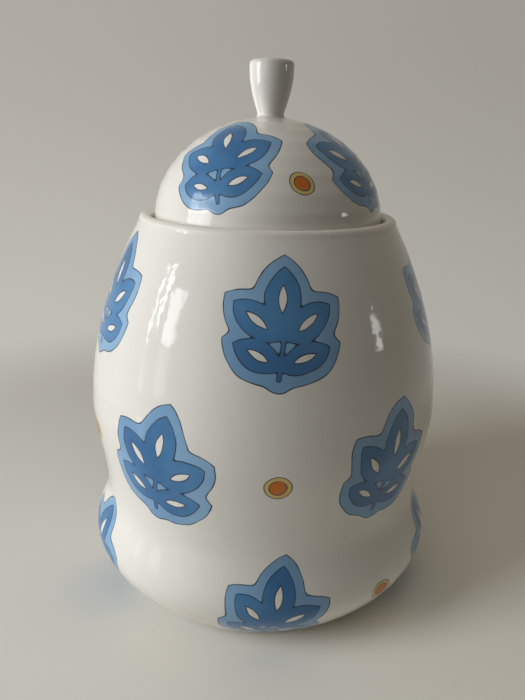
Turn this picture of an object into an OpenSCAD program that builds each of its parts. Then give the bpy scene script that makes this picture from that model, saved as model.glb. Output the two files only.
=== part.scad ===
// Lidded ceramic jar: a waisted body on a rounded foot, and a domed lid with a turned knob.
// The origin is the middle of the foot on the table, and +Z is up. All sizes are in millimetres.

/* [Jar outline] */
// Height of the body, from the table to the top of the rim
body_h = 221.5; // [185:0.5:270]
// Diameter of the edge that stands on the table
base_d = 142; // [115:1:172]
// Widest diameter of the rounded foot
foot_d = 202; // [180:1:245]
// Height of the foot's widest level
foot_z = 38; // [30:1:46]
// Diameter of the waist above the foot
waist_d = 186; // [150:1:225]
// Height of the waist
waist_z = 66; // [54:1:80]
// Widest diameter of the belly
belly_d = 199; // [165:1:240]
// Height of the belly's widest level
belly_z = 119; // [95:1:143]
// Outer diameter of the rim
rim_d = 140.5; // [128:0.5:170]
// How squarely the foot turns in to the table: 1 is a plain cone
foot_round = 1.8; // [1.2:0.1:2.5]
// How squarely the shoulder turns in to the rim: 1 is a plain cone
shoulder_round = 1.83; // [1.3:0.01:2.4]

/* [Walls and foot ring] */
// Thickness of the body's wall, square to its surface
wall = 5.5; // [4:0.1:7]
// Thickness of the floor above the hollow underside
floor_t = 5.5; // [4:0.1:8]
// Radius between the floor and the wall, inside
floor_corner_r = 6; // [2:0.5:10]
// Width of the bare ring that the jar stands on
ring_w = 5.5; // [3:0.1:8]
// Depth of the hollow underside inside the ring
ring_h = 2.5; // [1:0.1:4]

/* [Rim and lid seat] */
// Thickness of the round-topped rim
lip_t = 6.4; // [4.5:0.1:8]
// Depth of the seat below the top of the rim
seat_depth = 6.5; // [4.5:0.1:9]
// Width of the seat, from the rim's inner face to the mouth
seat_w = 7.8; // [6.5:0.1:10]
// Thickness of the seat at the edge of the mouth
seat_t = 5; // [4:0.1:7]
// How much lower the seat's underside lies where it meets the wall
seat_fall = 4; // [2:0.1:7]

/* [Lid] */
// Clearance all round between the lid's edge and the rim
lid_gap = 1.8; // [0.6:0.1:2.2]
// Height of the dome above its widest level
dome_h = 53.3; // [42:0.1:64]
// Height of the dome's widest level above the seat
edge_h = 3.2; // [3.1:0.1:6]
// Radius under the lid's edge
edge_r = 3; // [1.5:0.1:3]
// Thickness of the dome
lid_t = 5; // [3.5:0.1:6]
// Depth that the locating flange hangs into the mouth
flange_h = 8; // [5:0.5:12]
// Thickness of the locating flange
flange_t = 4.5; // [3:0.1:6]
// Clearance all round between the flange and the mouth
flange_gap = 1.2; // [0.6:0.1:1.8]

/* [Knob] */
// Widest diameter of the knob
knob_d = 23.4; // [19:0.1:29]
// Diameter of the knob's neck
neck_d = 13.9; // [11:0.1:17]
// Height of the knob above the dome
knob_h = 29; // [24:0.1:36]
// Height of the slip fillet round the neck, which is also its spread
neck_fillet = 2; // [1:0.1:3]
// Radius of the knob's top edge
knob_edge_r = 2.2; // [1:0.1:3]
// Height of the shallow crown on the knob's top
knob_crown = 0.6; // [0.2:0.1:1.5]

/* [Smoothness] */
// Number of straight steps in each curved stretch of an outline
curve_steps = 8; // [6:1:24]

/* [Hidden] */
$fn = 128;

// Radii and levels that follow from the sizes above
base_r = base_d / 2;
foot_r = foot_d / 2;
waist_r = waist_d / 2;
belly_r = belly_d / 2;
rim_r = rim_d / 2;
lip_r = lip_t / 2;
rim_z = body_h - lip_r;
ring_r = base_r - ring_w;
floor_z = ring_h + floor_t;
seat_z = body_h - seat_depth;
seat_r = rim_r - lip_t;
mouth_r = seat_r - seat_w;
seat_root_z = seat_z - seat_t - seat_fall;
lid_r = seat_r - lid_gap;
dome_z = seat_z + edge_h;
flange_r = mouth_r - flange_gap;
flange_z = seat_z - flange_h;
neck_r = neck_d / 2;
knob_r = knob_d / 2;
knob_land_r = neck_r + neck_fillet;
knob_land_z = dome_z + dome_h * sqrt(1 - pow(knob_land_r / lid_r, 2));
knob_top_z = knob_land_z + knob_h - knob_crown;

glaze_white = [0.92, 0.91, 0.88];
shade_white = [0.87, 0.86, 0.83];

// ---- Curves ----

// Runs from 0 to 1 with a level start and a level end
function ease(t) = (1 - cos(180 * t)) / 2;

// Points at even steps from a to b
function steps(a, b) = [for (i = [0:curve_steps]) a + (b - a) * i / curve_steps];

// Points of an elliptical arc about (x, z), from angle a to angle b
function arc(x, z, rx, rz, a, b) = [for (t = steps(a, b)) [x + rx * cos(t), z + rz * sin(t)]];

// The list without its first point, for joining two curves that share it
function rest(points) = [for (i = [1:len(points) - 1]) points[i]];

// ---- Jar body ----

// Outer radius of the foot: it turns in from its widest level to the table
function foot_outline(z) = foot_r - (foot_r - base_r) * pow((foot_z - z) / foot_z, foot_round);

// Outer radius between two levels, smooth at both
function swell(z, z0, r0, z1, r1) = r0 + (r1 - r0) * ease((z - z0) / (z1 - z0));

// Outer radius of the shoulder: it turns in from the belly to the rim
function shoulder(z) = belly_r - (belly_r - rim_r) * pow((z - belly_z) / (rim_z - belly_z), shoulder_round);

// Outer radius of the body at a height
function outer_r(z) =
    z < foot_z ? foot_outline(z)
    : z < waist_z ? swell(z, foot_z, foot_r, waist_z, waist_r)
    : z < belly_z ? swell(z, waist_z, waist_r, belly_z, belly_r)
    : shoulder(z);

// Inner radius of the body at a height: the wall is measured square to the outer surface
slope_step = 0.5;
function slope(z) = (outer_r(z + slope_step) - outer_r(z - slope_step)) / (2 * slope_step);
function inner_r(z) = outer_r(z) - wall * sqrt(1 + pow(slope(z), 2));

// The same, turned in to the floor over the height of the corner
function corner_in(t) = floor_corner_r * (1 - sqrt(1 - t * t));
function hollow_r(z) = inner_r(z) - corner_in(max(0, (floor_z + floor_corner_r - z) / floor_corner_r));

// Heights at which the wall's outer and inner faces are drawn, closer together where they bend
outer_levels = concat(
    steps(0, foot_z), rest(steps(foot_z, waist_z)),
    rest(steps(waist_z, belly_z)), rest(steps(belly_z, rim_z)));
hollow_levels = concat(
    steps(seat_root_z, belly_z), rest(steps(belly_z, waist_z)),
    rest(steps(waist_z, foot_z)), rest(steps(foot_z, floor_z + floor_corner_r)),
    rest([for (a = steps(0, 90)) floor_z + floor_corner_r * (1 - sin(a))]));

module jar_body() {
    color(glaze_white)
    rotate_extrude()
    polygon(concat(
        [[0, ring_h], [ring_r - ring_h / 2, ring_h], [ring_r, 0]],
        [for (z = outer_levels) [outer_r(z), z]],
        rest(arc(rim_r - lip_r, rim_z, lip_r, lip_r, 0, 180)),
        [[seat_r, seat_z], [mouth_r, seat_z], [mouth_r, seat_z - seat_t]],
        [for (z = hollow_levels) [hollow_r(z), z]],
        [[0, floor_z]]));
}

// ---- Lid ----

// The dome's inside is an ellipse too, as wide and as high as the wall leaves
inner_a = lid_r - lid_t;
inner_b = dome_h - lid_t;

// A bevel joins it to the flange's inner face, from just above the seat
flange_in_r = flange_r - flange_t;
bevel_z = seat_z + 1;
bevel_top_a = asin((inner_a - flange_in_r) / inner_b);

// The dome ends in a flat land for the knob
land_a = asin((knob_land_z - dome_z) / dome_h);

module lid_dome() {
    color(glaze_white)
    rotate_extrude()
    polygon(concat(
        [[flange_in_r, flange_z], [flange_r, flange_z], [flange_r, seat_z]],
        arc(lid_r - edge_r, seat_z + edge_r, edge_r, edge_r, -90, 0),
        arc(0, dome_z, lid_r, dome_h, 0, land_a),
        [[0, knob_land_z]],
        arc(0, dome_z, inner_a, inner_b, 90, bevel_top_a),
        [[flange_in_r, bevel_z]]));
}

// ---- Knob ----

neck_z = knob_land_z + neck_fillet;
knob_wide_z = knob_top_z - knob_edge_r;
knob_swell_z = knob_wide_z - knob_edge_r;

// Radius of the goblet-shaped knob between its neck and its widest level
function goblet_r(z) = neck_r + (knob_r - neck_r) * sin(90 * (z - neck_z) / (knob_swell_z - neck_z));

module lid_knob() {
    color(shade_white)
    rotate_extrude()
    polygon(concat(
        [[0, knob_land_z]],
        arc(knob_land_r, neck_z, neck_fillet, neck_fillet, 270, 180),
        rest([for (z = steps(neck_z, knob_swell_z)) [goblet_r(z), z]]),
        arc(knob_r - knob_edge_r, knob_wide_z, knob_edge_r, knob_edge_r, 0, 90),
        rest(arc(0, knob_top_z, knob_r - knob_edge_r, knob_crown, 0, 90))));
}

jar_body();
lid_dome();
lid_knob();
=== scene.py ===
import bpy
import numpy as np
from mathutils import Matrix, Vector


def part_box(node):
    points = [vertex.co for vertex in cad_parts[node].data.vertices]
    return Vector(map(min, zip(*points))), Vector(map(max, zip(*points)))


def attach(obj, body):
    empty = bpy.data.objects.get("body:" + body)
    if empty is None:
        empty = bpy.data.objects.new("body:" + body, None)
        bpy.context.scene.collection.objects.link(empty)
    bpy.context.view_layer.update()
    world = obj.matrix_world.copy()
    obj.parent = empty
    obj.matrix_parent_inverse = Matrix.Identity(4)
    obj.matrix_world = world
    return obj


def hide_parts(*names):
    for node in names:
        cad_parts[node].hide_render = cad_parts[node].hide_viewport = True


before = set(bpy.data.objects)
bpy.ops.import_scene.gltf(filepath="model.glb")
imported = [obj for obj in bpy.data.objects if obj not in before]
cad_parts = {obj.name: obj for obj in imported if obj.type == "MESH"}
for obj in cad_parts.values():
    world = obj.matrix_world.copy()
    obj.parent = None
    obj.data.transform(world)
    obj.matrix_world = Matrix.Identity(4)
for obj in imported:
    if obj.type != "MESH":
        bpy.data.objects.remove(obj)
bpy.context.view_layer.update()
print("frame loaded:", ", ".join(sorted(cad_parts)))


camera = {
    "place": (0.0, -0.3706, 0.2655),  # metres
    "tiltDown": 18.53,  # degrees below level
    "turn": -0.16,  # degrees to the right of +Y
    "roll": 1.49,  # degrees, which leans the jar's top to the right
    "lens": 33.94,  # millimetres
    "pictureHeight": 36.0,  # millimetres behind the lens
    "nearest": 0.01,  # metres from which the camera sees
}


def placeCamera(values):
    # The line of sight is a level heading tipped down, and the picture is then rolled about that line
    tip, turn, roll = np.radians([values["tiltDown"], values["turn"], values["roll"]])
    ahead = np.array([np.sin(turn) * np.cos(tip), np.cos(turn) * np.cos(tip), -np.sin(tip)])
    level = np.array([np.cos(turn), -np.sin(turn), 0.0])
    above = np.cross(level, ahead)
    right = level * np.cos(roll) + above * np.sin(roll)
    up = above * np.cos(roll) - level * np.sin(roll)
    eye = bpy.data.objects.new("camera", bpy.data.cameras.new("camera"))
    eye.data.sensor_fit = "VERTICAL"
    eye.data.sensor_height = values["pictureHeight"]
    eye.data.lens = values["lens"]
    eye.data.clip_start = values["nearest"]
    placed = np.eye(4)
    placed[:3, :] = np.stack([right, up, -ahead, values["place"]], axis=1)
    eye.matrix_world = Matrix(placed.tolist())
    bpy.context.scene.collection.objects.link(eye)
    bpy.context.scene.camera = eye


placeCamera(camera)
print("camera placed")


millimetres = 1000.0  # in a metre
turning = {
    "sides": 224,  # facets round a piece
    "sameRing": 2e-6,  # CAD points that are this close, in metres, count as one
    "fineStep": 0.0002,  # metres between points while an outline is smoothed
    "longStep": 0.0026,  # longest step of the finished outline
    "bendStep": 6.0,  # most that the finished outline turns in one step, in degrees
    "cornerTurn": 25.0,  # a CAD outline that turns by more than this has a real corner there
    "cornerStretch": 3.0,  # so has one whose neighbouring steps differ by more than this factor
    "blurReach": 4.0,  # how far the smoothing bell curve is followed, in times its width
    "bendBlur": 5,  # points on either side over which the bend is averaged
}


def grouped(values):
    # Numbers the values so that those which count as one share a number
    order = np.argsort(values)
    number = np.empty(len(values), int)
    number[order] = np.concatenate([[0], np.cumsum(np.diff(values[order]) > turning["sameRing"])])
    return number


def ringsOf(mesh):
    # The number of the ring that each vertex of a turned mesh lies on, and each ring's radius and height
    points = np.empty(len(mesh.vertices) * 3)
    mesh.vertices.foreach_get("co", points)
    points = points.reshape(-1, 3)
    flat = np.stack([np.hypot(points[:, 0], points[:, 1]), points[:, 2]], axis=1)
    keys = np.stack([grouped(flat[:, 0]), grouped(flat[:, 1])], axis=1)
    _, ring = np.unique(keys, axis=0, return_inverse=True)
    ring = ring.ravel()
    count = np.bincount(ring)
    return ring, np.stack([np.bincount(ring, flat[:, k]) / count for k in (0, 1)], axis=1)


def ringOrder(mesh, ring):
    # The rings from one end of the outline to the other: those that share a triangle are neighbours
    mesh.calc_loop_triangles()
    corners = np.empty(len(mesh.loop_triangles) * 3, int)
    mesh.loop_triangles.foreach_get("vertices", corners)
    corner = ring[corners].reshape(-1, 3)
    pairs = np.concatenate([corner[:, (0, 1)], corner[:, (1, 2)], corner[:, (2, 0)]])
    pairs = np.unique(np.sort(pairs[pairs[:, 0] != pairs[:, 1]], axis=1), axis=0)
    neighbours = [[] for _ in range(ring.max() + 1)]
    for a, b in pairs.tolist():
        neighbours[a].append(b)
        neighbours[b].append(a)
    path = [next(k for k, near in enumerate(neighbours) if len(near) == 1)]
    while True:
        onward = [k for k in neighbours[path[-1]] if k not in path[-2:]]
        if not onward:
            return path
        path.append(onward[0])


def sectionOf(nodeName):
    # Half the section of a turned CAD node, from axis to axis, as rows of (radius, height)
    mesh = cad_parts[nodeName].data
    ring, rings = ringsOf(mesh)
    outline = rings[ringOrder(mesh, ring)]
    ends = outline[[0, -1]] * (0, 1)  # a flat disc reaches the axis at its own height
    outline = np.concatenate([ends[:1], outline, ends[1:]])
    apart = np.hypot(*np.diff(outline, axis=0).T) > turning["sameRing"]
    outline = outline[np.concatenate([[True], apart])]
    r, z = outline.T
    area = (r[:-1] * z[1:] - r[1:] * z[:-1]).sum()
    return outline if area > 0 else outline[::-1]  # solid on the left, so that faces point outwards


def splineTangents(heading, length, corner):
    # Tangents at the start and the end of each step of a cubic spline. Its curvature is continuous
    # between corners, it runs up to a corner as an arc does, and it is level where it meets the axis.
    starts, ends = heading.copy(), heading.copy()
    breaks = np.concatenate([[0], np.flatnonzero(corner) + 1, [len(length)]])
    for first, last in zip(breaks[:-1], breaks[1:]):
        if last - first == 1:
            continue
        step, chord = length[first:last, None], heading[first:last]
        inner = np.arange(1, last - first)
        matrix = np.eye(last - first + 1)
        matrix[inner, inner - 1] = step[1:, 0]
        matrix[inner, inner] = 2 * (step[1:, 0] + step[:-1, 0])
        matrix[inner, inner + 1] = step[:-1, 0]
        matrix[0, 1] = first > 0
        matrix[-1, -2] = last < len(length)
        wanted = np.empty((len(matrix), 2))
        wanted[inner] = 3 * (step[1:] * chord[:-1] + step[:-1] * chord[1:])
        wanted[0] = 2 * chord[0] if first > 0 else (1, 0)
        wanted[-1] = 2 * chord[-1] if last < len(length) else (-1, 0)
        tangent = np.linalg.solve(matrix, wanted)
        starts[first:last], ends[first:last] = tangent[:-1], tangent[1:]
    return starts, ends


def smoothed(outline, softness):
    # A spline runs through the CAD outline's points. The curve is then blurred along its length by a
    # bell curve as wide as the softness, as a coat of glaze rounds every edge.
    step = np.diff(outline, axis=0)
    length = np.hypot(*step.T)
    heading = step / length[:, None]
    turn = np.degrees(np.arccos(np.clip((heading[1:] * heading[:-1]).sum(1), -1, 1)))
    stretch = np.maximum(length[1:] / length[:-1], length[:-1] / length[1:])
    corner = (turn > turning["cornerTurn"]) | (stretch > turning["cornerStretch"])
    starts, ends = splineTangents(heading, length, corner)
    pieces = np.ceil(length / turning["fineStep"]).astype(int)
    edge = np.repeat(np.arange(len(length)), pieces)
    first = np.repeat(np.cumsum(pieces) - pieces, pieces)
    t = ((np.arange(len(edge)) - first) / pieces[edge])[:, None]
    curve = (
        outline[edge] * (1 + 2 * t) * (1 - t) ** 2
        + outline[edge + 1] * (3 - 2 * t) * t**2
        + starts[edge] * length[edge, None] * t * (1 - t) ** 2
        - ends[edge] * length[edge, None] * t**2 * (1 - t)
    )
    curve = np.concatenate([curve, outline[-1:]])
    curve = spaced(curve, distanceAlong(curve), turning["fineStep"])
    reach = int(turning["blurReach"] * softness / turning["fineStep"])
    weight = np.exp(-0.5 * (np.arange(-reach, reach + 1) * turning["fineStep"] / softness) ** 2)
    before, after = curve[reach:0:-1] * (-1, 1), curve[-2 : -reach - 2 : -1] * (-1, 1)
    padded = np.concatenate([before, curve, after])
    blurred = [np.convolve(padded[:, k], weight / weight.sum(), "valid") for k in (0, 1)]
    return np.stack(blurred, axis=1)


def distanceAlong(curve):
    return np.concatenate([[0], np.cumsum(np.hypot(*np.diff(curve, axis=0).T))])


def spaced(curve, measure, step):
    # The curve's points at even steps of the measure, which grows from one point to the next
    even = np.linspace(0, measure[-1], int(np.ceil(measure[-1] / step)) + 1)
    return np.stack([np.interp(even, measure, column) for column in curve.T], axis=1)


def outlineRows(nodeName, softness, startAt):
    # The glazed outline as rows of radius, height, distance along it from where startAt is, and how
    # tightly it turns, positive on an outer edge. The rows lie closer together where it turns.
    curve = smoothed(sectionOf(nodeName), softness)
    along = distanceAlong(curve)
    heading = np.unwrap(np.arctan2(*np.gradient(curve, axis=0).T[::-1]))
    bend = np.gradient(heading) / np.gradient(along)
    blur = 2 * turning["bendBlur"] + 1
    bend = np.convolve(np.pad(bend, turning["bendBlur"], "edge"), np.ones(blur) / blur, "valid")
    swept = np.abs(np.diff(heading)) / np.radians(turning["bendStep"])
    measure = np.concatenate([[0], np.cumsum(np.diff(along) / turning["longStep"] + swept)])
    columns = np.column_stack([curve, along - along[startAt(curve)], bend])
    return spaced(columns, measure, 1.0)


def gridFaces(rows, sides):
    # Quads between neighbouring rows, and a fan round each pole. The poles come after the grid's points.
    row, side = np.meshgrid(np.arange(rows - 1) * sides, np.arange(sides), indexing="ij")
    onward = (side + 1) % sides
    quads = np.stack([row + side, row + onward, row + sides + onward, row + sides + side], axis=2)
    side, onward = side[0], onward[0]
    last, low, high = (rows - 1) * sides, rows * sides, rows * sides + 1
    fans = [
        np.stack([np.full(sides, low), onward, side], axis=1),
        np.stack([np.full(sides, high), last + side, last + onward], axis=1),
    ]
    return quads.reshape(-1, 4).tolist() + np.concatenate(fans).tolist()


def turnedSurface(name, nodeName, softness, startAt, wobble=None):
    # x = r cos a, y = r sin a, and z along the outline, over a grid of outline points by angles.
    # The attributes "along" and "bend" are the outline's distance and bend, in metres.
    rows = outlineRows(nodeName, softness, startAt)
    r, z, along, bend = rows[1:-1].T
    sides = turning["sides"]
    angle = np.arange(sides) * 2 * np.pi / sides
    radius = r[:, None] + (wobble(r[:, None], z[:, None], angle) if wobble else 0 * angle)
    height = z[:, None] + 0 * angle
    grid = np.stack([radius * np.cos(angle), radius * np.sin(angle), height], axis=2)
    poles = rows[[0, -1], 1][:, None] * (0, 0, 1)
    vertices = np.concatenate([grid.reshape(-1, 3), poles])
    mesh = bpy.data.meshes.new(name)
    mesh.from_pydata(vertices.tolist(), [], gridFaces(len(r), sides))
    for label, values in (("along", along), ("bend", bend)):
        column = np.concatenate([np.repeat(values, sides), values[[0, -1]]]).astype(np.float32)
        mesh.attributes.new(label, "FLOAT", "POINT").data.foreach_set("value", column)
    mesh.shade_smooth()
    piece = bpy.data.objects.new(name, mesh)
    bpy.context.scene.collection.objects.link(piece)
    print(f"{name}: {len(mesh.polygons)} faces")
    return piece


def screenColour(red, green, blue):
    # A colour written as screen values from 0 to 255, in the linear form that shaders take
    value = np.array([red, green, blue]) / 255
    linear = np.where(value <= 0.04045, value / 12.92, ((value + 0.055) / 1.055) ** 2.4)
    return (*linear.tolist(), 1.0)


def addNode(tree, kind, **settings):
    node = tree.nodes.new("ShaderNode" + kind)
    for setting, value in settings.items():
        setattr(node, setting, value)
    return node


def feed(tree, socket, value):
    if isinstance(value, bpy.types.NodeSocket):
        tree.links.new(value, socket)
    else:
        socket.default_value = value


def calc(tree, operation, *values):
    node = addNode(tree, "Math", operation=operation)
    for socket, value in zip(node.inputs, values):
        feed(tree, socket, value)
    return node.outputs[0]


def calcVector(tree, operation, *values):
    node = addNode(tree, "VectorMath", operation=operation)
    for socket, value in zip(node.inputs, values):
        feed(tree, socket, value)
    return node.outputs["Value" if operation in ("LENGTH", "DOT_PRODUCT") else "Vector"]


def scaled(tree, vector, amount):
    node = addNode(tree, "VectorMath", operation="SCALE")
    feed(tree, node.inputs["Vector"], vector)
    feed(tree, node.inputs["Scale"], amount)
    return node.outputs["Vector"]


def turned(tree, vector, angle):
    node = addNode(tree, "VectorRotate", rotation_type="Z_AXIS")
    feed(tree, node.inputs["Vector"], vector)
    feed(tree, node.inputs["Angle"], angle)
    return node.outputs[0]


def joined(tree, x, y, z=0.0):
    node = addNode(tree, "CombineXYZ")
    for socket, value in zip(node.inputs, (x, y, z)):
        feed(tree, socket, value)
    return node.outputs[0]


def split(tree, vector):
    node = addNode(tree, "SeparateXYZ")
    feed(tree, node.inputs[0], vector)
    return node.outputs


def ramp(tree, value, low, high, atLow=0.0, atHigh=1.0):
    # A smooth step from one level to another as the value goes from low to high
    node = addNode(tree, "MapRange", interpolation_type="SMOOTHSTEP")
    for socket, number in zip(node.inputs, (value, low, high, atLow, atHigh)):
        feed(tree, socket, number)
    return node.outputs[0]


def mixed(tree, amount, first, second):
    # A mix node has sockets for every kind of value: its colours go in at 6 and 7 and come out at 2
    node = addNode(tree, "Mix", data_type="RGBA")
    for socket, value in zip((node.inputs[0], node.inputs[6], node.inputs[7]), (amount, first, second)):
        feed(tree, socket, value)
    return node.outputs[2]


def dimmed(tree, colour, share):
    return calcVector(tree, "MULTIPLY", colour, joined(tree, share, share, share))


def noise(tree, place, scale, detail=2.0, output="Fac"):
    node = addNode(tree, "TexNoise")
    for label, value in (("Vector", place), ("Scale", scale), ("Detail", detail)):
        feed(tree, node.inputs[label], value)
    return node.outputs[output]


usualNoise = (0.3, 0.7)  # levels that a noise mostly stays between


def varied(tree, wave, atLow, atHigh):
    # A value that wanders from one level to another as a noise does
    return ramp(tree, wave, *usualNoise, atLow, atHigh)


def chances(tree, cell):
    # Three random numbers from 0 to 1 that are the same all over a cell
    node = addNode(tree, "TexWhiteNoise")
    feed(tree, node.inputs["Vector"], cell)
    return split(tree, node.outputs["Color"])


def objectPlace(tree):
    return addNode(tree, "TexCoord").outputs["Object"]


def newGroup(name, inputs, outputs):
    tree = bpy.data.node_groups.new(name, "ShaderNodeTree")
    for label, kind in inputs.items():
        tree.interface.new_socket(label, in_out="INPUT", socket_type="NodeSocket" + kind)
    for label, kind in outputs.items():
        tree.interface.new_socket(label, in_out="OUTPUT", socket_type="NodeSocket" + kind)
    return tree, tree.nodes.new("NodeGroupInput").outputs, tree.nodes.new("NodeGroupOutput").inputs


def useGroup(tree, group, values):
    node = addNode(tree, "Group", node_tree=group)
    for label, value in values.items():
        feed(tree, node.inputs[label], value)
    return node.outputs


sprig = {  # millimetres and degrees, from the middle of a sprig
    "leaves": (  # middle x and y, lean from upright, half length, half width: those off the stem are paired
        (0.0, 13.0, 0.0, 16.5, 8.8),
        (12.5, 1.5, 50.0, 14.5, 8.2),
        (11.5, -15.5, 68.0, 13.2, 7.2),
    ),
    "vein": (0.44, 0.24),  # length and width of the bare vein, as shares of its leaf
    "margin": 5.2,  # width of the light wash round the leaves
    "merge": 6.0,  # how far neighbouring margins run together
    "join": 2.6,  # how far leaves and stem do
    "stem": (-25.5, 2.0, 1.1),  # low end, high end and half width
    "line": 0.27,  # half width of the drawn line
    "slowShake": (2.4, 30.0),  # how far the drawing strays, and how many times a metre
    "quickShake": (0.45, 110.0),
    "lean": 13.0,  # the most that a sprig leans either way
    "sizes": (0.93, 1.04),  # the smallest and the largest sprig, as shares of this one
}
berry = {
    "core": 4.6,  # radii, in millimetres
    "skin": 7.2,
    "narrowing": 1.25,  # how much narrower than long a berry is
    "share": 0.55,  # of the gaps between sprigs that hold a berry
    "farOff": 100.0,  # where a gap without a berry puts it
}
inks = {
    "lightWash": (screenColour(136, 176, 211), screenColour(116, 160, 199)),
    "darkWash": (screenColour(70, 130, 180), screenColour(47, 107, 159)),
    "line": screenColour(34, 52, 72),
    "berryCore": screenColour(208, 110, 0),
    "berrySkin": screenColour(218, 194, 116),
    "softEdge": 0.12,  # millimetres over which an ink's edge fades
    "patches": (26.0, (0.35, 0.65)),  # times a metre that a wash changes blue, and at which noise levels
    "swells": (160.0, (0.2, 0.8), (0.7, 1.3)),  # the same for a line's width, and the shares that it takes
}


def makeLeafGroup():
    # How far a point is outside an almond: the almond is where two equal discs overlap
    sizes = {"Lean": "Float", "Half length": "Float", "Half width": "Float"}
    inputs = {"Point": "Vector", "Middle": "Vector", **sizes}
    tree, given, result = newGroup("leafShape", inputs, {"Distance": "Float"})
    fromMiddle = calcVector(tree, "SUBTRACT", given["Point"], given["Middle"])
    x, y, _ = split(tree, turned(tree, fromMiddle, given["Lean"]))
    lengthSquared = calc(tree, "MULTIPLY", given["Half length"], given["Half length"])
    widthSquared = calc(tree, "MULTIPLY", given["Half width"], given["Half width"])
    twice = calc(tree, "MULTIPLY", given["Half width"], 2.0)
    offset = calc(tree, "DIVIDE", calc(tree, "SUBTRACT", lengthSquared, widthSquared), twice)
    radius = calc(tree, "DIVIDE", calc(tree, "ADD", lengthSquared, widthSquared), twice)
    across = calc(tree, "ADD", calc(tree, "ABSOLUTE", x), offset)
    far = calcVector(tree, "LENGTH", joined(tree, across, y))
    feed(tree, result["Distance"], calc(tree, "SUBTRACT", far, radius))
    return tree


def shaken(tree, point, place):
    # The point moved by two noises, as a hand's drawn line strays
    for amount, scale in (sprig["slowShake"], sprig["quickShake"]):
        stray = noise(tree, place, scale, detail=1.0, output="Color")
        stray = calcVector(tree, "SUBTRACT", stray, (0.5, 0.5, 0.5))
        point = calcVector(tree, "ADD", point, scaled(tree, stray, 2 * amount))
    x, y, _ = split(tree, point)
    return joined(tree, x, y)


def sprigEdges(tree, leafGroup, point, cell):
    # Distances outside the margin, the leaves and the veins of the sprig in a cell
    leanChance, sizeChance, _ = chances(tree, cell)
    lean = float(np.radians(sprig["lean"]))
    point = turned(tree, point, ramp(tree, leanChance, 0.0, 1.0, -lean, lean))
    shrink = ramp(tree, sizeChance, 0.0, 1.0, *[1 / size for size in sprig["sizes"]])
    x, y, _ = split(tree, scaled(tree, point, shrink))
    folded = joined(tree, calc(tree, "ABSOLUTE", x), y)
    low, high, halfWidth = sprig["stem"]
    fromMiddle = calc(tree, "ABSOLUTE", calc(tree, "SUBTRACT", y, (low + high) / 2))
    past = calc(tree, "MAXIMUM", calc(tree, "SUBTRACT", fromMiddle, (high - low) / 2), 0.0)
    stem = calc(tree, "SUBTRACT", calcVector(tree, "LENGTH", joined(tree, x, past)), halfWidth)
    spread = leaves = stem
    veins = None
    for middleX, middleY, leafLean, halfLength, halfWidth in sprig["leaves"]:
        shape = {"Point": folded, "Middle": (middleX, middleY, 0.0), "Lean": float(np.radians(leafLean))}
        leaf = useGroup(tree, leafGroup, {**shape, "Half length": halfLength, "Half width": halfWidth})[0]
        veinLength, veinWidth = halfLength * sprig["vein"][0], halfWidth * sprig["vein"][1]
        vein = useGroup(tree, leafGroup, {**shape, "Half length": veinLength, "Half width": veinWidth})[0]
        spread = calc(tree, "SMOOTH_MIN", spread, leaf, sprig["merge"])
        leaves = calc(tree, "SMOOTH_MIN", leaves, leaf, sprig["join"])
        veins = vein if veins is None else calc(tree, "MINIMUM", veins, vein)
    return calc(tree, "SUBTRACT", spread, sprig["margin"]), leaves, veins


def berryEdges(tree, point, cell):
    # Distances outside the core and the skin of the egg-shaped berry in a gap, far off where there is none
    isThere, lean, _ = chances(tree, cell)
    point = turned(tree, point, calc(tree, "MULTIPLY", lean, float(np.pi)))
    middle = calcVector(tree, "LENGTH", calcVector(tree, "MULTIPLY", point, (1.0, berry["narrowing"], 0.0)))
    missing = calc(tree, "GREATER_THAN", isThere, berry["share"])
    missing = calc(tree, "MULTIPLY", missing, berry["farOff"])
    middle = calc(tree, "ADD", middle, missing)
    return calc(tree, "SUBTRACT", middle, berry["core"]), calc(tree, "SUBTRACT", middle, berry["skin"])


def makePrintGroup(leafGroup):
    # Inks over bare glaze, from distances in millimetres: light wash, leaves, veins, berry, then lines
    inputs = {label: "Vector" for label in ("Point", "Cell", "Gap point", "Gap cell")}
    inputs["Bare"] = "Color"
    tree, given, result = newGroup("leafPrint", inputs, {"Colour": "Color", "Ink": "Float"})
    place = objectPlace(tree)
    margin, leaves, veins = sprigEdges(tree, leafGroup, shaken(tree, given["Point"], place), given["Cell"])
    core, skin = berryEdges(tree, shaken(tree, given["Gap point"], place), given["Gap cell"])
    patches, patchLevels = inks["patches"]
    wash = ramp(tree, noise(tree, place, patches, detail=3.0), *patchLevels)
    swells, swellLevels, shares = inks["swells"]
    swell = ramp(tree, noise(tree, place, swells), *swellLevels, *shares)
    line = calc(tree, "MULTIPLY", swell, sprig["line"])
    soft = inks["softEdge"]

    def within(distance):
        return ramp(tree, distance, -soft, soft, 1.0, 0.0)

    lines = 0.0
    for edge in (margin, leaves, veins, core, skin):
        drawn = within(calc(tree, "SUBTRACT", calc(tree, "ABSOLUTE", edge), line))
        lines = calc(tree, "MAXIMUM", lines, drawn)
    colour = mixed(tree, within(margin), given["Bare"], mixed(tree, wash, *inks["lightWash"]))
    colour = mixed(tree, within(leaves), colour, mixed(tree, wash, *inks["darkWash"]))
    colour = mixed(tree, within(veins), colour, given["Bare"])
    colour = mixed(tree, within(skin), colour, inks["berrySkin"])
    colour = mixed(tree, within(core), colour, inks["berryCore"])
    feed(tree, result["Colour"], mixed(tree, lines, colour, inks["line"]))
    feed(tree, result["Ink"], calc(tree, "MAXIMUM", within(margin), within(skin)))
    return tree


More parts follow.
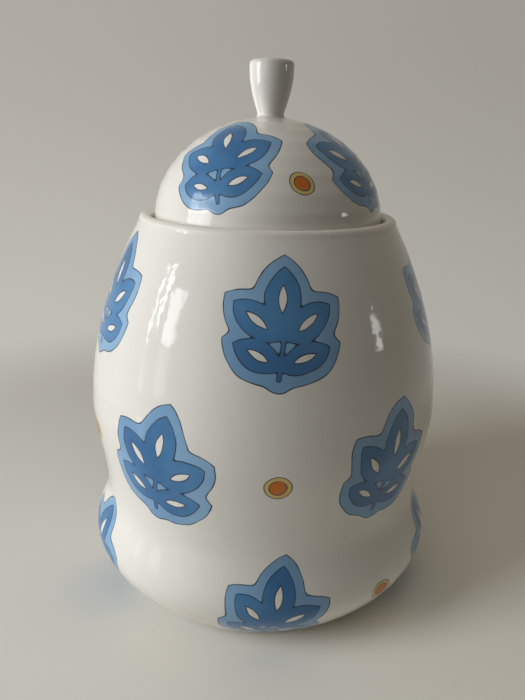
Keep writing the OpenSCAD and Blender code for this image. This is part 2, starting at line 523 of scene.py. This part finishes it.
def columnsRound(tree, values, move):
    # The place across a column from -0.5 to 0.5, the column's number and the nearest gap's number
    x, y, _ = split(tree, objectPlace(tree))
    angle = calc(tree, "SUBTRACT", calc(tree, "ARCTAN2", y, x), float(np.radians(values["facing"])))
    at = calc(tree, "ADD", calc(tree, "MULTIPLY", angle, values["columns"] / (2 * np.pi)), move)
    column, gap = calc(tree, "ROUND", at), calc(tree, "FLOOR", at)
    across = calc(tree, "SUBTRACT", at, column)
    return across, *[calc(tree, "FLOORED_MODULO", number, values["columns"]) for number in (column, gap)]


def pastGap(tree, across):
    # How far a place across a column is past the middle of the nearest gap
    return calc(tree, "SUBTRACT", across, calc(tree, "MULTIPLY", calc(tree, "SIGN", across), 0.5))


def wallCells(tree, along, values):
    # Cells in rows up the wall and columns round the axis, with every other row moved by half a cell
    x, y, _ = split(tree, objectPlace(tree))
    radius = calcVector(tree, "LENGTH", joined(tree, x, y))
    width = calc(tree, "MULTIPLY", radius, millimetres * 2 * np.pi / values["columns"])
    rowAt = calc(tree, "DIVIDE", calc(tree, "SUBTRACT", along, values["start"]), values["rowHeight"])
    row = calc(tree, "FLOOR", rowAt)
    halfMove = calc(tree, "MULTIPLY", calc(tree, "FLOORED_MODULO", row, 2.0), 0.5)
    across, column, gap = columnsRound(tree, values, halfMove)
    fromMiddle = calc(tree, "SUBTRACT", calc(tree, "SUBTRACT", rowAt, row), 0.5)
    up = calc(tree, "MULTIPLY", fromMiddle, values["rowHeight"])
    cells = {
        "Point": joined(tree, calc(tree, "MULTIPLY", across, width), up),
        "Cell": joined(tree, column, row, values["seed"]),
        "Gap point": joined(tree, calc(tree, "MULTIPLY", pastGap(tree, across), width), up),
        "Gap cell": joined(tree, gap, row, values["berrySeed"]),
    }
    belowTop = calc(tree, "LESS_THAN", rowAt, values["rows"])
    return cells, calc(tree, "MULTIPLY", belowTop, calc(tree, "GREATER_THAN", rowAt, 0.0))


def domeCells(tree, along, values):
    # One ring of cells about the pole, laid flat: the distance from the pole is that along the dome
    across, column, gap = columnsRound(tree, values, 0.0)
    fromPole = calc(tree, "SUBTRACT", values["pole"], along)

    def flatPoint(aside, middle):
        angle = calc(tree, "MULTIPLY", aside, 2 * np.pi / values["columns"])
        x = calc(tree, "MULTIPLY", fromPole, calc(tree, "SINE", angle))
        y = calc(tree, "MULTIPLY", fromPole, calc(tree, "COSINE", angle))
        return joined(tree, x, calc(tree, "SUBTRACT", middle, y))

    cells = {
        "Point": flatPoint(across, values["sprigFromPole"]),
        "Cell": joined(tree, column, 0.0, values["seed"]),
        "Gap point": flatPoint(pastGap(tree, across), values["berryFromPole"]),
        "Gap cell": joined(tree, gap, 0.0, values["berrySeed"]),
    }
    return cells, calc(tree, "GREATER_THAN", along, values["start"])


glaze = {
    "colour": screenColour(234, 231, 224),
    "mottle": (14.0, 0.965),  # times a metre that the colour dims, and to which share
    "thinColour": screenColour(208, 200, 185),  # where it runs thin over an edge
    "thinBend": (260.0, 900.0),  # outward bends, in radians a metre, over which it thins
    "thinStray": (120.0, 260.0),  # times a metre that this strays, and by how much bend
    "thinMost": 0.75,  # share of the thin colour on a sharp edge
    "refraction": 1.52,
    "roughness": (0.05, 0.08),
    "dull": 19.0,  # times a metre that it goes from the one to the other
    "inkRoughness": 0.16,  # print is duller than the glaze round it
    "inkHeight": 0.00002,  # metres that print stands proud
    "bareClay": screenColour(206, 196, 178),
    "bareHeight": 0.0014,  # metres: the wiped ring that a jar stands on
    "bareEdge": (90.0, 0.0006, 0.0002),  # times a metre that its edge wanders, how far, and its softness
    "clayGrain": (1400.0, 0.88),  # times a metre that the clay dims, and to which share
    "clayRoughness": 0.7,
    "rubbedBend": (45.0, 120.0),  # outward bends, radians a metre, from glossy to rubbed dull
    "rubbedRoughness": 0.34,
    "ripples": ((26.0, 0.00030), (230.0, 0.00010), (900.0, 0.000008)),  # times a metre, and metres high
    "pits": {
        "cells": 95.0,  # times a metre that there is room for one
        "share": 0.05,  # of this room that has one
        "radii": (0.012, 0.03),  # of its floor and its mouth, as shares of the room
        "depth": 0.00006,  # metres
        "thin": 0.5,  # share of the thin colour in it
    },
}


def makeGlazeGroup():
    # Slow ripples, fine peel and a few pinholes for the height, and where the glaze runs thin or dull
    outputs = {"Height": "Float", "Thin": "Float", "Mottle": "Float", "Dull": "Float"}
    tree, given, result = newGroup("glazeCoat", {"Bend": "Float"}, outputs)
    place = objectPlace(tree)
    pits = glaze["pits"]
    room = addNode(tree, "TexVoronoi")
    feed(tree, room.inputs["Vector"], place)
    feed(tree, room.inputs["Scale"], pits["cells"])
    rare = calc(tree, "GREATER_THAN", split(tree, room.outputs["Color"])[0], 1 - pits["share"])
    pit = calc(tree, "MULTIPLY", ramp(tree, room.outputs["Distance"], *pits["radii"], 1.0, 0.0), rare)
    height = calc(tree, "MULTIPLY", pit, -pits["depth"])
    for scale, depth in glaze["ripples"]:
        wave = calc(tree, "MULTIPLY", noise(tree, place, scale, detail=1.0), depth)
        height = calc(tree, "ADD", height, wave)
    feed(tree, result["Height"], height)
    strays, most = glaze["thinStray"]
    bend = calc(tree, "ADD", given["Bend"], calc(tree, "MULTIPLY", noise(tree, place, strays), most))
    thin = ramp(tree, bend, *glaze["thinBend"], 0.0, glaze["thinMost"])
    feed(tree, result["Thin"], calc(tree, "MAXIMUM", thin, calc(tree, "MULTIPLY", pit, pits["thin"])))
    feed(tree, result["Mottle"], noise(tree, place, glaze["mottle"][0], detail=3.0))
    feed(tree, result["Dull"], noise(tree, place, glaze["dull"]))
    return tree


printGroup = makePrintGroup(makeLeafGroup())
glazeGroup = makeGlazeGroup()


def printOver(tree, cells, values, colour, rough, height):
    # Print on the glaze: its colour, its duller gloss and how proud it stands
    along = addNode(tree, "Attribute", attribute_name="along").outputs["Fac"]
    cellValues, inPlace = cells(tree, calc(tree, "MULTIPLY", along, millimetres), values)
    printed = useGroup(tree, printGroup, {**cellValues, "Bare": colour})
    ink = calc(tree, "MULTIPLY", printed["Ink"], inPlace)
    colour = mixed(tree, inPlace, colour, printed["Colour"])
    rough = calc(tree, "MAXIMUM", rough, calc(tree, "MULTIPLY", ink, glaze["inkRoughness"]))
    height = calc(tree, "ADD", height, calc(tree, "MULTIPLY", ink, glaze["inkHeight"]))
    return colour, rough, height


def wipedAndRubbed(tree, place, bend, colour, rough):
    # Bare clay on the ring that is wiped before firing, and a rim that the lid has rubbed dull
    wanders, far, softness = glaze["bareEdge"]
    edge = calc(tree, "MULTIPLY", noise(tree, place, wanders), far)
    level = calc(tree, "ADD", split(tree, place)[2], edge)
    bare = ramp(tree, level, glaze["bareHeight"], glaze["bareHeight"] + softness, 1.0, 0.0)
    grains, dimmest = glaze["clayGrain"]
    grain = varied(tree, noise(tree, place, grains, detail=3.0), dimmest, 1.0)
    colour = mixed(tree, bare, colour, dimmed(tree, glaze["bareClay"][:3], grain))
    rough = calc(tree, "MAXIMUM", rough, calc(tree, "MULTIPLY", bare, glaze["clayRoughness"]))
    rubbed = ramp(tree, bend, *glaze["rubbedBend"], 0.0, glaze["rubbedRoughness"])
    return colour, calc(tree, "MAXIMUM", rough, rubbed)


def makeGlaze(name, values=None, cells=None, isWiped=False):
    # White glaze, with print if there are cells for it, and bare and rubbed places if it is wiped
    material = bpy.data.materials.new(name)
    material.use_nodes = True
    tree = material.node_tree
    shader = tree.nodes["Principled BSDF"]
    place = objectPlace(tree)
    bend = addNode(tree, "Attribute", attribute_name="bend").outputs["Fac"]
    coat = useGroup(tree, glazeGroup, {"Bend": bend})
    colour = mixed(tree, coat["Thin"], glaze["colour"], glaze["thinColour"])
    colour = dimmed(tree, colour, varied(tree, coat["Mottle"], glaze["mottle"][1], 1.0))
    rough = varied(tree, coat["Dull"], *glaze["roughness"])
    height = coat["Height"]
    if cells:
        colour, rough, height = printOver(tree, cells, values, colour, rough, height)
    if isWiped:
        colour, rough = wipedAndRubbed(tree, place, bend, colour, rough)
    feed(tree, shader.inputs["Base Color"], colour)
    feed(tree, shader.inputs["Roughness"], rough)
    shader.inputs["IOR"].default_value = glaze["refraction"]
    bump = addNode(tree, "Bump")
    bump.inputs["Distance"].default_value = 1.0
    feed(tree, bump.inputs["Height"], height)
    feed(tree, shader.inputs["Normal"], bump.outputs["Normal"])
    return material


jar = {
    "softness": 0.0007,  # metres over which the glaze rounds an edge
    "sway": 0.00022,  # metres that the hand-finished outside strays from a true circle
    "waves": (  # how many go round, radians from foot to rim, radians at the start, strength
        (2, 5.0, 0.0, 1.0),
        (3, -4.0, 1.3, 0.6),
        (5, 9.0, 0.0, 0.35),
    ),
    "waveReach": 1.6,  # how high the waves stand together
    "strayFrom": 0.062,  # metres: the wall is true inside this radius
    "strayOver": 0.01,  # metres outside it over which the waves grow
    "standing": 0.0006,  # metres: what is lower stands on the table
    "print": {  # millimetres from the table up the outside, and degrees from +X
        "columns": 5,
        "rows": 3,
        "rowHeight": 76.0,
        "start": 6.0,
        "facing": -85.0,
        "seed": 0.2,
        "berrySeed": 3.9,
    },
}
_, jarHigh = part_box("jar_body")


def jarStray(r, z, angle):
    # Low waves round the outside, which die out at the rim, at the table and indoors
    span = np.clip(z / jarHigh.z, 0, 1)
    outside = np.clip((r - jar["strayFrom"]) / jar["strayOver"], 0, 1)
    outside = outside * np.sin(np.pi * span) ** 0.5
    waves = sum(much * np.sin(count * angle + start + up * span) for count, up, start, much in jar["waves"])
    return jar["sway"] * outside * waves / jar["waveReach"]


def tableEdge(curve):
    # The outer edge of the ring that the jar stands on
    return int(np.argmax(np.where(curve[:, 1] < jar["standing"], curve[:, 0], 0)))


jarPiece = turnedSurface("jarBody", "jar_body", jar["softness"], tableEdge, jarStray)
jarPiece.data.materials.append(makeGlaze("printedGlaze", jar["print"], wallCells, isWiped=True))
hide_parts("jar_body")
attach(jarPiece, "jar")


lid = {
    "softness": 0.0006,  # metres
    "print": {  # millimetres up the dome from its widest level, or from its pole
        "columns": 4,
        "start": 1.0,
        "sprigFromPole": 50.0,
        "berryFromPole": 64.0,
        "facing": -118.0,
        "seed": 0.7,
        "berrySeed": 3.9,
    },
}


def widestLevel(curve):
    return int(np.argmax(curve[:, 0]))


lidPiece = turnedSurface("lidDome", "lid_dome", lid["softness"], widestLevel)
lid["print"]["pole"] = millimetres * lidPiece.data.attributes["along"].data[-1].value
lidPiece.data.materials.append(makeGlaze("lidGlaze", lid["print"], domeCells))
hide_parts("lid_dome")
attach(lidPiece, "lid")


knob = {"softness": 0.0005}  # metres

knobPiece = turnedSurface("lidKnob", "lid_knob", knob["softness"], widestLevel)
knobPiece.data.materials.append(makeGlaze("knobGlaze"))
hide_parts("lid_knob")
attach(knobPiece, "lid")


studio = {
    "floorRadius": 1.2,  # metres
    "floorSides": 96,
    "floorTone": (2.2, 0.97),  # times a metre that the floor dims, and to which share
    "floorRoughness": 0.85,
    "floorFade": (0.30, 0.56),  # distances between which the floor melts into the backdrop
    "floorColour": screenColour(219, 216, 208),
    "backdropLow": screenColour(193, 190, 182),
    "backdropHigh": screenColour(175, 171, 162),
    "backdropRise": (-0.34, 0.16),  # upward share of a line of sight, for the low colour and the high one
    "rightShare": 0.79,  # how bright the backdrop is on the side away from the windows
    "rightTurn": (-0.42, 0.42),  # rightward share of it, for full brightness and for that share
    "ambient": (0.042, 0.037, 0.029, 1.0),  # what the backdrop lights the jar with
    "glow": (70.0, 14.0, 0.5),  # the windows' glow in the glaze: bearing, height angle and strength
    "glowWidth": (62.0, 8.0),  # angles from its middle at which it starts and is full
    "warm": (1.0, 0.92, 0.78),  # light that comes back from the walls
    "aim": (0.0, 0.0, 0.14),  # metres: the point that the lamps face
}
daylight = (0.965, 0.985, 1.0)
lamps = {  # degrees left of the camera's side, degrees up, metres off, width, height, watts, colour
    "frontWindow": (60.0, 22.0, 1.5, 0.9, 1.2, 10.0, daylight),
    "sideWindow": (90.0, 12.0, 1.5, 0.9, 0.9, 15.3, daylight),
    "ceiling": (80.0, 82.0, 1.5, 0.9, 0.9, 3.3, studio["warm"]),
    "farWall": (-110.0, 15.0, 1.5, 0.9, 0.9, 2.1, studio["warm"]),
}
panes = {  # bright gaps in the windows, which only show as streaks in the glaze
    "leftPane": (81.5, 14.5, 1.42, 0.055, 0.50, 0.50, daylight),
    "leftPaneEdge": (76.2, 19.0, 1.42, 0.075, 0.40, 0.66, daylight),
    "leftPaneFoot": (80.5, -3.0, 1.42, 0.05, 0.30, 0.085, daylight),
    "rightPane": (65.8, 16.5, 1.42, 0.20, 0.40, 1.5, daylight),
    "rightPaneEdge": (60.2, 19.0, 1.42, 0.03, 0.34, 0.19, daylight),
    "rightPaneFoot": (65.8, 0.0, 1.42, 0.20, 0.34, 0.26, daylight),
    "lowPane": (80.0, -24.0, 1.42, 0.12, 0.40, 0.6, daylight),
    "farPane": (-79.0, 11.5, 1.5, 0.14, 0.28, 0.6, daylight),
}
onePiecePanes = {  # the piece comes first, and it alone shows the pane
    "knobPane": (knobPiece, 71.0, 4.0, 1.42, 0.36, 0.52, 3.2, daylight),
    "knobEdgePane": (knobPiece, 130.0, 2.0, 1.42, 0.50, 1.20, 2.8, daylight),
    "lidPane": (lidPiece, 68.5, 4.0, 1.42, 0.66, 1.0, 8.8, daylight),
}
floorLamps = {  # the floor has lamps of its own, so that it keeps one clear shadow
    "floorWindow": (62.0, 22.0, 1.5, 0.6, 0.9, 19.5, (0.88, 0.93, 1.0)),
    "floorCeiling": (0.0, 88.0, 1.5, 1.6, 1.6, 6.7, studio["warm"]),
    "floorFront": (5.0, 45.0, 1.5, 1.2, 0.9, 3.1, studio["warm"]),
}


def makeFloor(values):
    sides = values["floorSides"]
    angle = np.arange(sides) * 2 * np.pi / sides
    rim = np.stack([np.cos(angle), np.sin(angle), 0 * angle], axis=1) * values["floorRadius"]
    mesh = bpy.data.meshes.new("floor")
    mesh.from_pydata(rim.tolist(), [], [list(range(sides))])
    floor = bpy.data.objects.new("floor", mesh)
    bpy.context.scene.collection.objects.link(floor)
    material = bpy.data.materials.new("floorPaint")
    material.use_nodes = True
    tree = material.node_tree
    shader = tree.nodes["Principled BSDF"]
    place = objectPlace(tree)
    scale, dimmest = values["floorTone"]
    tone = varied(tree, noise(tree, place, scale), dimmest, 1.0)
    feed(tree, shader.inputs["Base Color"], dimmed(tree, values["floorColour"][:3], tone))
    shader.inputs["Roughness"].default_value = values["floorRoughness"]
    far = calcVector(tree, "LENGTH", place)
    feed(tree, shader.inputs["Alpha"], ramp(tree, far, *values["floorFade"], 1.0, 0.0))
    mesh.materials.append(material)
    return floor


def directionTo(bearing, rise):
    # The bearing is to the left of the camera's side, and the rise is above level
    turn, lift = np.radians([bearing, rise])
    return np.array([-np.sin(turn) * np.cos(lift), -np.cos(turn) * np.cos(lift), np.sin(lift)])


def makeBackdrop(values):
    # Seen straight or in a reflection the backdrop is a pale wall with painted shade on the side away from
    # the windows, and it lights the jar more dimly.
    # Reflections also show a soft glow where the windows are.
    world = bpy.data.worlds.new("backdrop")
    bpy.context.scene.world = world
    world.use_nodes = True
    tree = world.node_tree
    towards = addNode(tree, "TexCoord").outputs["Generated"]
    x, _, z = split(tree, towards)
    rising = ramp(tree, z, *values["backdropRise"])
    wall = mixed(tree, rising, values["backdropLow"], values["backdropHigh"])
    # painted shade: the wall is dimmed on the side away from the windows
    wall = dimmed(tree, wall, ramp(tree, x, *values["rightTurn"], 1.0, values["rightShare"]))
    bearing, rise, strength = values["glow"]
    facing = calcVector(tree, "DOT_PRODUCT", towards, directionTo(bearing, rise).tolist())
    glow = ramp(tree, facing, *np.cos(np.radians(values["glowWidth"])).tolist(), 0.0, strength)
    mirrored = calcVector(tree, "ADD", wall, joined(tree, glow, glow, glow))
    path = addNode(tree, "LightPath").outputs
    reflected = calc(tree, "MAXIMUM", path["Is Glossy Ray"], path["Is Transmission Ray"])
    colour = mixed(tree, reflected, values["ambient"], mirrored)
    colour = mixed(tree, path["Is Camera Ray"], colour, wall)
    feed(tree, tree.nodes["Background"].inputs["Color"], colour)


def litBy(piece, state):
    # What a lamp lights: one piece alone, or everything but that piece
    group = bpy.data.collections.new(("only" if state == "INCLUDE" else "allBut") + piece.name)
    group.objects.link(piece)
    group.collection_objects[0].light_linking.link_state = state
    return group


def addLamp(name, inReflections, lights, bearing, rise, distance, width, height, watts, colour):
    away = directionTo(bearing, rise)
    light = bpy.data.lights.new(name, "AREA")
    light.shape = "RECTANGLE"
    light.size, light.size_y = width, height
    light.energy, light.color = watts, colour
    lamp = bpy.data.objects.new(name, light)
    lamp.visible_glossy = inReflections
    lamp.visible_diffuse = not inReflections
    lamp.light_linking.receiver_collection = lights
    side = np.cross([0, 0, 1], away)
    side /= np.linalg.norm(side)
    placed = np.eye(4)
    placed[:3, :] = np.stack([side, np.cross(away, side), away, away * distance + studio["aim"]], axis=1)
    lamp.matrix_world = Matrix(placed.tolist())
    bpy.context.scene.collection.objects.link(lamp)


floorPiece = makeFloor(studio)
makeBackdrop(studio)
onPieces, onFloor = litBy(floorPiece, "EXCLUDE"), litBy(floorPiece, "INCLUDE")
for name, values in lamps.items():
    addLamp(name, False, onPieces, *values)
for name, values in panes.items():
    addLamp(name, True, onPieces, *values)
for name, (piece, *values) in onePiecePanes.items():
    addLamp(name, True, litBy(piece, "INCLUDE"), *values)
for name, values in floorLamps.items():
    addLamp(name, False, onFloor, *values)
bpy.context.scene.view_settings.view_transform = "Standard"
print("studio lit")
